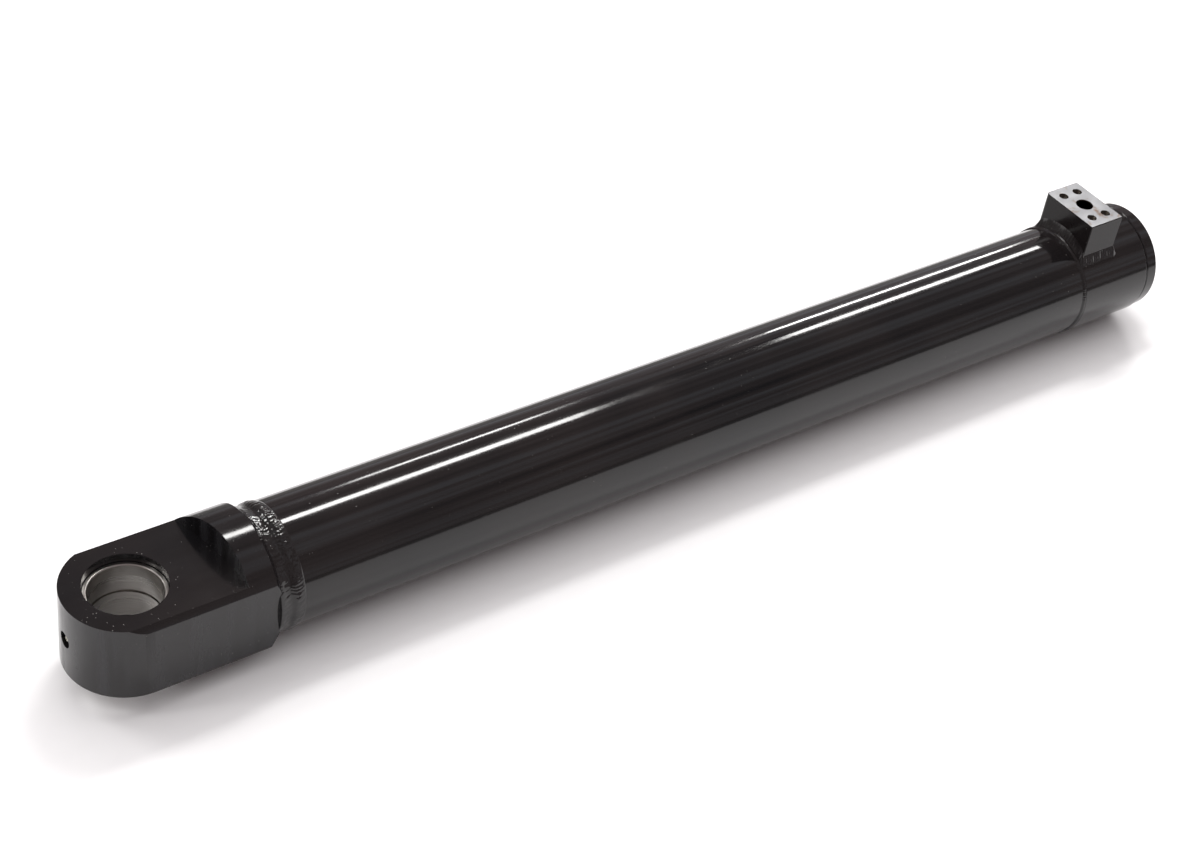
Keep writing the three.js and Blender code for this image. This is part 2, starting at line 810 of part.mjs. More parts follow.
const rodGroup = new THREE.Group();
rodGroup.add(
  meshOf('piston_rod', pistonRod(), chrome),
  meshOf('piston', pistonBody(), machinedSteel),
  meshOf('piston_o_ring', pistonORing(), blackRubber),
  meshOf('piston_nut', pistonNut(), darkSteel),
  meshOf('nut_set_screw', nutSetScrew(), darkSteel),
);

const group = new THREE.Group();
group.name = 'hydraulic_cylinder';
group.add(barrel, pistonRings, rodGroup);

export default group;
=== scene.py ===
# Looks for a double-acting hydraulic cylinder that lies along X.
# Every piece is built in millimetres around its CAD node's box, scaled to metres
# once, and rides on that node's body.

import json
import math

import bmesh
import bpy
from mathutils import Matrix, Vector, noise

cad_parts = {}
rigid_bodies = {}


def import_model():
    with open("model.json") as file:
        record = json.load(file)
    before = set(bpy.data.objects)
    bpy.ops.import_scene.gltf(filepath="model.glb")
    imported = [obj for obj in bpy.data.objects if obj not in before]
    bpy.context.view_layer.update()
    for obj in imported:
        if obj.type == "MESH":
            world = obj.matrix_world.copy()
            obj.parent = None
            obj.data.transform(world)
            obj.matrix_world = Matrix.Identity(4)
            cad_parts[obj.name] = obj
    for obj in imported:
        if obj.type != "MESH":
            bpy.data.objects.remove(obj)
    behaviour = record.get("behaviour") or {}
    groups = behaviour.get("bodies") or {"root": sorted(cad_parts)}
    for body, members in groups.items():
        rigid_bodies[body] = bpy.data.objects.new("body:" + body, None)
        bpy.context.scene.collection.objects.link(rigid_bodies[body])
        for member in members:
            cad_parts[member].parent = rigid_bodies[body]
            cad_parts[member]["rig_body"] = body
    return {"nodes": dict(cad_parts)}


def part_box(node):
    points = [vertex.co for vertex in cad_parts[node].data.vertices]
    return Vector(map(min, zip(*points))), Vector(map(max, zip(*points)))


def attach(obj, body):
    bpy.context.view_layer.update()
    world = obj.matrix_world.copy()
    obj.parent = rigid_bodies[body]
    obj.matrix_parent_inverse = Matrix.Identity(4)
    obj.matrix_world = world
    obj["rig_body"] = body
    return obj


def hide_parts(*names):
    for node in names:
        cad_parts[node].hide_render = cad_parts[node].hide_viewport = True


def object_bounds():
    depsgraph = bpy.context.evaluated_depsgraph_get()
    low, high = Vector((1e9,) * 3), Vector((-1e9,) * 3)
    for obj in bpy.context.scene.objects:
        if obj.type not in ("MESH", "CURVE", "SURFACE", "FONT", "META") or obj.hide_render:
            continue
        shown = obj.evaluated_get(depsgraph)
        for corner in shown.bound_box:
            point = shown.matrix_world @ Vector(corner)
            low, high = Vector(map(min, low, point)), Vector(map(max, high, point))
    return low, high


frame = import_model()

cad_low, cad_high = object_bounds()

MM = 0.001
TAU = 2 * math.pi

# Turns the local frame of a lathe, whose axis is Z, so that its axis is X.
# The lathe's angle then runs from +Z towards -Y.
ALONG_X = Matrix(((0, 0, 1), (0, -1, 0), (1, 0, 0))).to_4x4()
ALONG_Z = Matrix.Identity(4)

# Sizes that a node's box doesn't give, in millimetres

CLEARANCE = 0.3
TUBE_WALL = 8.5
EYE_HALF_THICKNESS = 43
EYE_FORGING_R = 71
EYE_END = 128.5
EYE_END_R = 67
EYE_MILL_R = 330
EYE_MILL_Y = -53
EYE_FLAT_TIP = 96.9
PIN_BORE_R = 40
BUSHING_BORE_R = 35
BUSHING_GROOVE_HALF = 1.6
OIL_HOLE_R = 2
GREASE_POCKET_R = 8.5
GREASE_POCKET_DEPTH = 13
GREASE_THREAD_R = 4.6
GREASE_THREAD_HOLE_R = 4.7
SPIGOT_OVERLAP = 4
PORT_BORE_R = 9.5
PORT_MOUTH = 0.8
TAP_R = 5
TAP_PITCH = 1.5
TAP_DEPTH = 22
TAP_AXIAL = 22.2
TAP_ACROSS = 47.6
CAP_PORT_X = 92
PAD_HALF_X = 25.3
PAD_HALF_Z = 38.9
PAD_DEPTH = 0.4
COLLAR_THREAD_R = 58
COLLAR_THREAD_START = 1256
BLOCK_FAR_CORNER_R = 5
BLOCK_CORNER_R = 1.2
BLOCK_EDGE_R = 0.9
GLAND_NOSE_R = 49.5
GLAND_SEAL_START = 1240
GLAND_SEAL_R = 54.7
GLAND_FLANGE_START = 1302
GLAND_BORE_R = 38
GLAND_SPANNER_R = 4
GLAND_SPANNER_CIRCLE_R = 53
GLAND_SPANNER_DEPTH = 8
WIPER_SEAT_R = 44
WIPER_SEAT_DEPTH = 8
ROD_SEAT_R = 24
ROD_TAP_R = 20
ROD_TAP_DEPTH = 60
ROD_TAP_PITCH = 3
ROD_FLATS_HALF = 32.5
ROD_FLATS_LENGTH = 13
LOCK_SCREW_ANGLE = -0.68
LOCK_SCREW_R = 4
SET_SCREW_R = 3
ROD_LIP_R = 37.8
BACKUP_RING_R = 50.5
WEAR_RING_R = 51.8
PISTON_SEAL_R = 51.7
ENERGIZER_R = 47.3
WELD_POINT_SPACING = 0.6

# A gland groove: axial centre, width and the radius of its floor.
GLAND_GROOVES = ((1220, 12, 40.5), (1237, 6, 43.5), (1262, 9, 44.5), (1281, 14, 40.5))
GLAND_OUTER_GROOVE = (1248, 8.6, 50.2)
PISTON_GROOVES = ((197, 10, 51.5), (216, 9, 47), (235, 10, 51.5))
PISTON_BORE_GROOVE = (206, 5, 27.6)

# Sides of a turned piece
FINE = 192
MEDIUM = 128
SMALL = 48
TUBE_SIDES = 256
WELD_SIDES = 960
TAP_SIDES = 96


# Profiles: lists of (axial, radius) points in millimetres

def rounded(profile, size=0.6, steps=3):
    """The profile with its corners rounded. A third value in a point is that corner's own size."""
    closed = profile[0][1] > 0
    count = len(profile)
    result = []
    for index, point in enumerate(profile):
        here = Vector(point[:2])
        own = point[2] if len(point) > 2 else size
        if own == 0 or (not closed and index in (0, count - 1)):
            result.append(tuple(here))
            continue
        before = Vector(profile[index - 1][:2]) - here
        after = Vector(profile[(index + 1) % count][:2]) - here
        reach = min(own, 0.45 * before.length, 0.45 * after.length)
        first = here + before.normalized() * reach
        last = here + after.normalized() * reach
        for step in range(steps + 1):
            t = step / steps
            corner = first * (1 - t) ** 2 + here * (2 * t * (1 - t)) + last * t ** 2
            result.append(tuple(corner))
    return result


def ring_profile(start, end, inner_r, outer_r):
    return [(start, inner_r), (end, inner_r), (end, outer_r), (start, outer_r)]


def groove_points(groove, surface_r):
    centre, width, floor_r = groove
    low, high = centre - width / 2, centre + width / 2
    return [(low, surface_r, 0.3), (low, floor_r, 0.4), (high, floor_r, 0.4), (high, surface_r, 0.3)]


def round_section(centre, ring_r, section_r, sides=20):
    turns = [TAU * i / sides for i in range(sides)]
    return [(centre + section_r * math.cos(t), ring_r + section_r * math.sin(t)) for t in turns]


def spaced(profile, step):
    """The profile with extra points, so that none are further apart than the step."""
    result = []
    count = len(profile)
    for index in range(count):
        here = Vector(profile[index][:2])
        there = Vector(profile[(index + 1) % count][:2])
        parts = max(1, math.ceil((there - here).length / step))
        result += [tuple(here.lerp(there, part / parts)) for part in range(parts)]
    return result


# Meshes

def mesh_from(work, name):
    bmesh.ops.recalc_face_normals(work, faces=work.faces)
    mesh = bpy.data.meshes.new(name)
    work.to_mesh(mesh)
    work.free()
    return mesh


def lathe(profile, segments=FINE, place=ALONG_X, warp=None):
    """Turns a profile into a closed mesh. warp(axial, angle, radius) gives a point's own radius."""
    work = bmesh.new()
    rows = []
    for axial, radius in profile:
        if radius < 1e-6:
            rows.append([work.verts.new(place @ Vector((0, 0, axial)))])
            continue
        row = []
        for i in range(segments):
            turn = TAU * i / segments
            r = warp(axial, turn, radius) if warp else radius
            row.append(work.verts.new(place @ Vector((r * math.cos(turn), r * math.sin(turn), axial))))
        rows.append(row)
    pairs = list(zip(rows, rows[1:]))
    if profile[0][1] > 1e-6:
        pairs.append((rows[-1], rows[0]))
    for low, high in pairs:
        for i in range(segments):
            j = (i + 1) % segments
            corners = [low[i % len(low)], low[j % len(low)], high[j % len(high)], high[i % len(high)]]
            kept = list(dict.fromkeys(corners))
            if len(kept) > 2:
                work.faces.new(kept)
    return mesh_from(work, "lathe")


def prism(outline, low, high, place=ALONG_Z):
    """A closed outline of (u, v) points carried from one level to the other."""
    work = bmesh.new()
    rows = [[work.verts.new(place @ Vector((u, v, level))) for u, v in outline] for level in (low, high)]
    count = len(outline)
    for i in range(count):
        j = (i + 1) % count
        work.faces.new([rows[0][i], rows[0][j], rows[1][j], rows[1][i]])
    for row in rows:
        work.faces.new(row)
    return mesh_from(work, "prism")


def loft(sections, closed=True):
    """A skin over sections of equal length, joined end to start or capped."""
    work = bmesh.new()
    rows = [[work.verts.new(point) for point in section] for section in sections]
    pairs = list(zip(rows, rows[1:]))
    if closed:
        pairs.append((rows[-1], rows[0]))
    sides = len(rows[0])
    for a, b in pairs:
        for i in range(sides):
            j = (i + 1) % sides
            work.faces.new([a[i], a[j], b[j], b[i]])
    if not closed:
        work.faces.new(rows[0])
        work.faces.new(rows[-1])
    return mesh_from(work, "loft")


def box_mesh(low, high):
    outline = [(low[0], low[1]), (high[0], low[1]), (high[0], high[1]), (low[0], high[1])]
    return prism(outline, low[2], high[2])


def arc(centre, radius, start, end, steps):
    """Points on a circle, from one angle in degrees to another."""
    turns = [math.radians(start + (end - start) * i / steps) for i in range(steps + 1)]
    return [(centre[0] + radius * math.cos(t), centre[1] + radius * math.sin(t)) for t in turns]


def evaluated(work):
    graph = bpy.context.evaluated_depsgraph_get()
    mesh = bpy.data.meshes.new_from_object(work.evaluated_get(graph), depsgraph=graph)
    bpy.data.objects.remove(work)
    return mesh


def work_object(mesh):
    work = bpy.data.objects.new("work", mesh)
    bpy.context.scene.collection.objects.link(work)
    return work


def combined(base, tools, operation="DIFFERENCE"):
    """The base with each tool cut from it, added to it or crossed with it."""
    work = work_object(base)
    others = [work_object(tool) for tool in tools]
    for other in others:
        modifier = work.modifiers.new("combine", "BOOLEAN")
        modifier.object = other
        modifier.operation = operation
        modifier.solver = "EXACT"
    mesh = evaluated(work)
    for other in others:
        bpy.data.objects.remove(other)
    return mesh


def cleaned(mesh, flat_degrees=0.5):
    """The mesh with its flat areas merged into single faces."""
    work = bmesh.new()
    work.from_mesh(mesh)
    bmesh.ops.remove_doubles(work, verts=work.verts, dist=0.002)
    bmesh.ops.dissolve_degenerate(work, edges=work.edges, dist=0.002)
    bmesh.ops.dissolve_limit(
        work, angle_limit=math.radians(flat_degrees), verts=work.verts, edges=work.edges
    )
    return mesh_from(work, "cleaned")


def softened(mesh, width, steps=3, sharp_degrees=32):
    """The mesh with its sharp edges rounded."""
    work = work_object(cleaned(mesh))
    modifier = work.modifiers.new("soften", "BEVEL")
    modifier.limit_method = "ANGLE"
    modifier.angle_limit = math.radians(sharp_degrees)
    modifier.width = width
    modifier.segments = steps
    modifier.miter_outer = "MITER_ARC"
    return evaluated(work)


def facing(centre, direction):
    """The place of a piece whose own Z runs along the direction from the centre."""
    return Matrix.Translation(centre) @ Vector(direction).to_track_quat("Z", "Y").to_matrix().to_4x4()


def drill(radius, centre, direction, depth, mouth=0.0, above=3, segments=SMALL):
    """A cutter for a blind hole, with a chamfered mouth where one is given."""
    place = facing(centre, direction)
    profile = [(-above, 0), (-above, radius + mouth + above if mouth else radius)]
    if mouth:
        profile += [(mouth, radius)]
    profile += [(depth, radius), (depth + 0.55 * radius, 0)]
    return lathe(profile, segments, place)


def thread_cutter(radius, pitch, centre, direction, depth, segments=SMALL):
    """A cutter for a tapped hole: its wall follows a true helix."""
    place = facing(centre, direction)
    height = 0.5 * pitch
    above, mouth, samples = 3, 0.4 * pitch, 6
    levels = [mouth + i * pitch / samples for i in range(int((depth - mouth) * samples / pitch))]

    def helix(axial, turn, r):
        if not mouth < axial < depth - pitch:
            return r
        phase = (axial / pitch + turn / TAU) % 1
        return r - height / 2 + height * abs(2 * phase - 1)

    profile = [(-above, 0), (-above, radius + mouth + above), (mouth, radius)]
    profile += [(level, radius) for level in levels[1:]]
    profile += [(depth, radius - height / 2), (depth + 0.5 * radius, 0)]
    return lathe(profile, segments, place, helix)


# Pieces

def span(node):
    """A CAD node's lowest and highest corners, in millimetres."""
    low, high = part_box(node)
    return low / MM, high / MM


def body_of(node):
    return frame["nodes"][node]["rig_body"]


def add_piece(node, mesh, materials, sharp_degrees=40):
    """Shows the mesh in the CAD node's place, on the node's body."""
    mesh.transform(Matrix.Scale(MM, 4))
    mesh.name = node + "_look"
    mesh.shade_smooth()
    mesh.set_sharp_from_angle(angle=math.radians(sharp_degrees))
    for each in materials:
        mesh.materials.append(each)
    piece = bpy.data.objects.new(node + "_look", mesh)
    bpy.context.scene.collection.objects.link(piece)
    modifier = piece.modifiers.new("normals", "WEIGHTED_NORMAL")
    modifier.keep_sharp = True
    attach(piece, body_of(node))
    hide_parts(node)
    return piece


def give_faces(mesh, index, chosen):
    """Gives one material index to the faces that chosen(centre, normal) picks."""
    for face in mesh.polygons:
        face.material_index = index if chosen(face.center, face.normal) else face.material_index


# Shaders

class Shader:
    """A Principled material whose nodes are added by short calls."""

    def __init__(self, name, **inputs):
        self.material = bpy.data.materials.new(name)
        self.material.use_nodes = True
        self.tree = self.material.node_tree
        self.surface = self.tree.nodes["Principled BSDF"]
        self.place = self.tree.nodes.new("ShaderNodeTexCoord").outputs["Object"]
        for socket, value in inputs.items():
            self.surface.inputs[socket].default_value = value

    def add(self, kind, inputs, output=0, **settings):
        node = self.tree.nodes.new("ShaderNode" + kind)
        for key, value in settings.items():
            setattr(node, key, value)
        for key, value in inputs.items():
            self.feed(node.inputs[key], value)
        return node.outputs[output]

    def feed(self, socket, value):
        if isinstance(value, bpy.types.NodeSocket):
            self.tree.links.new(value, socket)
        else:
            socket.default_value = value

    def stretched(self, stretch, shift=(0, 0, 0)):
        moved = self.add("VectorMath", {0: self.place, 1: shift}, operation="ADD")
        return self.add("VectorMath", {0: moved, 1: stretch}, operation="MULTIPLY")

    def grain(self, scale, detail=2.0, stretch=None, shift=(0, 0, 0), rough=0.5):
        vector = self.stretched(stretch or (1, 1, 1), shift)
        return self.add("TexNoise", {"Vector": vector, "Scale": scale, "Detail": detail, "Roughness": rough})

    def rings(self, scale, centre, distortion=0.4):
        """Circular tool marks about a line along Z through the centre."""
        shifted = self.stretched((1, 1, 0), tuple(-c for c in centre))
        return self.add(
            "TexWave",
            {"Vector": shifted, "Scale": scale, "Distortion": distortion, "Detail": 2.0, "Detail Scale": 2.0},
            output=1, wave_type="RINGS", rings_direction="SPHERICAL",
        )

    def level(self, value, low, high, to_low=0.0, to_high=1.0):
        inputs = {"Value": value, "From Min": low, "From Max": high, "To Min": to_low, "To Max": to_high}
        return self.add("MapRange", inputs)

    def maths(self, operation, a, b=0.0):
        return self.add("Math", {0: a, 1: b}, operation=operation)

    def specks(self, scale, share, size=0.25, shift=(0, 0, 0)):
        """Small round dots: each cell of the given share has one."""
        cells = {"Vector": self.stretched((1, 1, 1), shift), "Scale": scale}
        distance = self.add("TexVoronoi", cells)
        colour = self.add("TexVoronoi", cells, output=1)
        pick = self.add("SeparateColor", {0: colour})
        inside = self.level(distance, size * 0.6, size, 1.0, 0.0)
        chosen = self.maths("LESS_THAN", pick, share)
        return self.maths("MULTIPLY", inside, chosen)

    def upright(self):
        """1 on walls and 0 on level faces."""
        normal = self.tree.nodes.new("ShaderNodeNewGeometry").outputs["Normal"]
        height = self.add("SeparateXYZ", {0: normal}, output=2)
        return self.level(self.maths("ABSOLUTE", height), 0.3, 0.7, 1.0, 0.0)

    def mix(self, factor, a, b):
        return self.add("Mix", {0: factor, 6: a, 7: b}, output=2, data_type="RGBA")

    def bump(self, height, distance, strength=1.0, normal=None):
        inputs = {"Height": height, "Distance": distance, "Strength": strength}
        if normal is not None:
            inputs["Normal"] = normal
        return self.add("Bump", inputs)

    def finish(self, colour=None, roughness=None, normal=None):
        for key, value in (("Base Color", colour), ("Roughness", roughness), ("Normal", normal)):
            if value is not None:
                self.feed(self.surface.inputs[key], value)
        return self.material


def rgb(red, green, blue):
    return (red, green, blue, 1.0)


def enamel(name, smooth=0.085, peel=0.000012, dust=0.05, runs=0.0, gloss_ior=1.5):
    """Gloss black enamel with orange peel, settled dust, wipe marks and, on walls, paint runs."""
    look = Shader(name, IOR=gloss_ior)
    cloud = look.level(look.grain(7, 4), 0.35, 0.65)
    colour = look.mix(cloud, rgb(0.0042, 0.0042, 0.005), rgb(0.0098, 0.0082, 0.0084))
    fine = look.specks(330, dust, 0.2)
    coarse = look.specks(120, dust * 0.4, 0.1, (3, 1, 2))
    patches = look.level(look.grain(11, 3, shift=(5, 5, 5)), 0.46, 0.64)
    specks = look.maths("MULTIPLY", look.maths("MAXIMUM", fine, coarse), patches)
    colour = look.mix(look.maths("MULTIPLY", specks, 0.55), colour, rgb(0.2, 0.19, 0.175))
    wipe = look.grain(55, 4, (0.25, 1, 1))
    roughness = look.level(wipe, 0.3, 0.72, smooth * 0.75, smooth * 1.5)
    roughness = look.maths("ADD", roughness, look.maths("MULTIPLY", specks, 0.3))
    if runs:
        down = look.maths("MULTIPLY", look.grain(75, 3, (1, 1, 0.06), (7, 2, 3)), look.upright())
        roughness = look.maths("ADD", roughness, look.level(down, 0.42, 0.68, 0.0, runs))
        colour = look.mix(look.level(down, 0.4, 0.7, 0.0, 0.8), colour, rgb(0.022, 0.022, 0.025))
    normal = look.bump(look.grain(230, 1), peel)
    normal = look.bump(look.grain(26, 2, shift=(1, 4, 2)), 0.00016, 0.6, normal)
    normal = look.bump(specks, 0.00008, 1.0, normal)
    return look.finish(colour, roughness, normal)


def bare_face(name, tint=(0.27, 0.275, 0.285), marks=(0, 0, 0), stain=0.7):
    """Face-milled steel with arcs from the cutter and thin rust stains."""
    look = Shader(name, Metallic=1.0)
    arcs = look.rings(360, marks)
    fine = look.grain(900, 2, (1, 0.25, 1))
    base = look.mix(look.level(arcs, 0.1, 0.9), rgb(*[0.86 * c for c in tint]), rgb(*tint))
    spots = look.level(look.grain(95, 4, rough=0.6), 0.56, 0.74, 0.0, stain)
    base = look.mix(spots, base, rgb(0.2, 0.115, 0.06))
    roughness = look.level(look.grain(60, 3), 0.3, 0.7, 0.36, 0.5)
    roughness = look.maths("ADD", roughness, look.maths("MULTIPLY", spots, 0.25))
    normal = look.bump(arcs, 0.00002, 0.7)
    normal = look.bump(fine, 0.000012, 0.6, normal)
    return look.finish(base, roughness, normal)


def turned_steel(name, tint, along, rough=0.26, pitch=1500, depth=0.000012, stain=0.25):
    """Turned or ground metal: fine marks that run round the axis along."""
    look = Shader(name, Metallic=1.0)
    stretch = tuple(1.0 if unit else 0.012 for unit in along)
    lines = look.grain(pitch, 2, stretch)
    broad = look.grain(pitch * 0.12, 3, stretch, (2, 2, 2))
    cloud = look.grain(30, 3, shift=(4, 1, 1))
    base = look.mix(look.level(lines, 0.3, 0.7), rgb(*[0.82 * c for c in tint]), rgb(*tint))
    base = look.mix(look.level(cloud, 0.55, 0.75, 0.0, stain), base, rgb(*[0.5 * c for c in tint]))
    roughness = look.level(broad, 0.3, 0.7, rough * 0.8, rough * 1.3)
    return look.finish(base, roughness, look.bump(lines, depth, 0.8))


def moulded(name, tint, rough=0.5, metallic=0.0, depth=0.00002):
    """Moulded or filled polymer, rubber or phosphated steel with a fine mottle."""
    look = Shader(name, Metallic=metallic)
    fleck = look.grain(700, 3)
    cloud = look.grain(60, 3, shift=(2, 5, 1))
    base = look.mix(look.level(fleck, 0.35, 0.7), rgb(*[0.75 * c for c in tint]), rgb(*tint))
    base = look.mix(look.level(cloud, 0.5, 0.8, 0.0, 0.4), base, rgb(*[1.25 * c for c in tint]))
    roughness = look.level(cloud, 0.3, 0.7, rough * 0.85, rough * 1.15)
    return look.finish(base, roughness, look.bump(fleck, depth, 0.7))


block_low, block_high = span("port_block")
block_centre = (block_low + block_high) / 2

PAINT = enamel("black_enamel")
EYE_PAINT = enamel("black_enamel_on_forging", smooth=0.13, peel=0.00002, dust=0.12, runs=0.22)
BLOCK_PAINT = enamel("black_enamel_on_block", smooth=0.12, gloss_ior=1.29)
WELD_PAINT = enamel("black_enamel_on_weld", smooth=0.11, peel=0.00002, dust=0.03)
PORT_STEEL = bare_face("milled_port_steel", marks=(block_centre.x * MM + 0.11, -0.13, 0))
# Drilled steel for the walls of the port bores and tapped holes: its near-black tint is painted shade of the
# deep holes, not the metal's own colour
HOLE_STEEL_PAINTED_SHADE = turned_steel("drilled_steel_painted_shade", (0.085, 0.075, 0.062), (0, 0, 1), 0.2)
BUSHING_STEEL = turned_steel("bushing_steel", (0.44, 0.425, 0.4), (0, 0, 1), 0.3)
CHROME = turned_steel("hard_chrome", (0.72, 0.73, 0.75), (1, 0, 0), 0.07, 2200, 0.000002, 0.05)
END_STEEL = turned_steel("turned_steel", (0.52, 0.515, 0.5), (1, 0, 0), 0.3)
DARK_STEEL = moulded("dark_steel", (0.09, 0.09, 0.095), 0.42, 0.85)
ZINC = moulded("zinc_plate", (0.52, 0.5, 0.42), 0.34, 0.9, 0.00001)
RUBBER = moulded("black_rubber", (0.013, 0.013, 0.013), 0.6)
RED_POLYURETHANE = moulded("red_polyurethane", (0.33, 0.02, 0.015), 0.42)
BLUE_POLYURETHANE = moulded("blue_polyurethane", (0.025, 0.075, 0.25), 0.42)
BRONZE_PTFE = moulded("bronze_ptfe", (0.24, 0.145, 0.06), 0.5, 0.2)
PHENOLIC = moulded("phenolic_fabric", (0.2, 0.23, 0.1), 0.55)


# Base eye, bushing and grease fitting

def eye_outline(half_width):
    """The lug seen along the pin: a half-round nose and a straight shank."""
    return [(EYE_END, -half_width), *arc((0, 0), half_width, -90, -270, 96), (EYE_END, half_width)]


def eye_section(half_width):
    """The lug behind its milled flats: straight sides between two round faces."""
    flat_edge = math.sqrt(EYE_FORGING_R ** 2 - EYE_HALF_THICKNESS ** 2)
    side = math.degrees(math.atan2(math.sqrt(EYE_FORGING_R ** 2 - half_width ** 2), half_width))
    flat = math.degrees(math.atan2(EYE_HALF_THICKNESS, flat_edge))
    return [
        (-half_width, -EYE_HALF_THICKNESS),
        *arc((0, 0), EYE_FORGING_R, 180 + flat, 360 - flat, 60),
        (half_width, -EYE_HALF_THICKNESS),
        *arc((0, 0), EYE_FORGING_R, side, 180 - side, 100),
    ]


def lug_mesh(half_width):
    reach = EYE_FORGING_R + 1
    section_place = Matrix(((0, 0, 1), (1, 0, 0), (0, 1, 0))).to_4x4()
    outline = prism(eye_outline(half_width), -reach, reach)
    section = prism(eye_section(half_width), -2 * half_width, EYE_END + 1, section_place)
    corner_r = math.hypot(half_width, EYE_HALF_THICKNESS) + 1
    bevel = [
        (-half_width - 1, 0),
        (-half_width - 1, corner_r),
        (EYE_END - corner_r + EYE_END_R, corner_r),
        (EYE_END, EYE_END_R),
        (EYE_END, 0),
    ]
    forging = combined(section, [outline, lathe(bevel, FINE)], "INTERSECT")
    disc = arc((EYE_FLAT_TIP - EYE_MILL_R, EYE_MILL_Y), EYE_MILL_R, 0, 359, 359)
    return combined(forging, [
        prism(disc, EYE_HALF_THICKNESS, reach + 1),
        prism(disc, -reach - 1, -EYE_HALF_THICKNESS),
    ])


def flange_port_cutters(face, inward, across, bore_depth):
    """The bore and the four tapped holes of a split-flange port."""
    cutters = [drill(PORT_BORE_R, face, inward, bore_depth, PORT_MOUTH)]
    for i in (-0.5, 0.5):
        for j in (-0.5, 0.5):
            centre = face + Vector((i * TAP_AXIAL, 0, 0)) + Vector(across) * j * TAP_ACROSS
            cutters.append(thread_cutter(TAP_R, TAP_PITCH, centre, inward, TAP_DEPTH))
    return cutters


def base_eye():
    low, high = span("base_eye")
    half_width = -low.x
    lug = lug_mesh(half_width)
    pin = lathe([(-60, 0), (-60, PIN_BORE_R), (60, PIN_BORE_R), (60, 0)], FINE, ALONG_Z)
    nose = Vector((low.x, 0, 0))
    pocket = drill(GREASE_POCKET_R, nose, (1, 0, 0), GREASE_POCKET_DEPTH, 0, 4)
    passage = drill(GREASE_THREAD_HOLE_R, nose, (1, 0, 0), 26, 0, 1)
    pad = box_mesh(
        (CAP_PORT_X - PAD_HALF_X, half_width - PAD_DEPTH, -PAD_HALF_Z),
        (CAP_PORT_X + PAD_HALF_X, half_width + 5, PAD_HALF_Z),
    )
    lug = softened(combined(lug, [pin, pocket, passage, pad]), 0.55)
    face = Vector((CAP_PORT_X, half_width - PAD_DEPTH, 0))
    lug = combined(lug, flange_port_cutters(face, (0, -1, 0), (0, 0, 1), half_width + 4))
    spigot_r = span("barrel_tube")[1].z - TUBE_WALL - CLEARANCE
    start = EYE_END - SPIGOT_OVERLAP
    spigot = lathe([(start, 0), (start, spigot_r), (high.x, spigot_r), (high.x, 0)], MEDIUM)
    lug = combined(lug, [spigot], "UNION")
    oil_way = drill(PORT_BORE_R, Vector((high.x, 0, 0)), (-1, 0, 0), high.x - CAP_PORT_X)
    lug = combined(lug, [oil_way])

    def on_port(centre, normal):
        near = abs(centre.x - CAP_PORT_X) < PAD_HALF_X - 1 and abs(centre.z) < PAD_HALF_Z - 1
        return near and half_width - TAP_DEPTH - 6 < centre.y < half_width - 0.5 * PAD_DEPTH

    give_faces(lug, 1, on_port)
    return add_piece("base_eye", lug, [EYE_PAINT, PORT_STEEL])


def eye_bushing():
    low, high = span("eye_bushing")
    groove = BUSHING_GROOVE_HALF
    profile = rounded([
        (low.z, high.x, 0.8),
        (low.z, BUSHING_BORE_R + 1.2),
        (low.z + 1.2, BUSHING_BORE_R),
        (-groove, BUSHING_BORE_R, 0.3),
        (-groove, BUSHING_BORE_R + 2.4, 0.5),
        (groove, BUSHING_BORE_R + 2.4, 0.5),
        (groove, BUSHING_BORE_R, 0.3),
        (high.z - 1.2, BUSHING_BORE_R),
        (high.z, BUSHING_BORE_R + 1.2),
        (high.z, high.x, 0.8),
    ], 0.4)
    body = lathe(profile, FINE, ALONG_Z)
    reach = high.x + 1
    oil = lathe([(-reach, 0), (-reach, OIL_HOLE_R), (reach, OIL_HOLE_R), (reach, 0)], SMALL)
    body = combined(body, [oil])
    return add_piece("eye_bushing", body, [BUSHING_STEEL], 30)


def grease_fitting():
    low, high = span("grease_fitting")
    seat = span("base_eye")[0].x + GREASE_POCKET_DEPTH
    tip = low.x
    stem = lathe(rounded([
        (tip, 0),
        (tip, 2.3),
        (tip + 1.2, 3.2),
        (tip + 2.6, 3.2),
        (tip + 4.2, 2.3),
        (tip + 6, 2.9),
        (seat - CLEARANCE, 2.9),
        (seat - CLEARANCE, GREASE_THREAD_R),
        (high.x, GREASE_THREAD_R),
        (high.x, 0),
    ], 0.35), SMALL)
    hex_place = ALONG_X @ Matrix.Rotation(math.radians(30), 4, "Z")
    corner_r = (high.z - low.z) / 2
    hexagon = prism(arc((0, 0), corner_r, 0, 300, 5), seat - 4.3, seat - CLEARANCE, hex_place)
    body = combined(stem, [softened(hexagon, 0.35)], "UNION")
    body = combined(body, [drill(1.0, (tip, 0, 0), (1, 0, 0), 8)])
    return add_piece("grease_fitting", body, [ZINC])


# Tube, collar and their welds

def barrel_tube():
    low, high = span("barrel_tube")
    outer_r, bore_r = high.z, high.z - TUBE_WALL
    profile = rounded([
        (low.x, bore_r),
        (high.x, bore_r),
        (high.x, outer_r - 2),
        (high.x - 2, outer_r),
        (low.x + 13.5, outer_r),
        (low.x, bore_r + 2.5),
    ], 0.4)
    return add_piece("barrel_tube", lathe(profile, TUBE_SIDES), [PAINT])


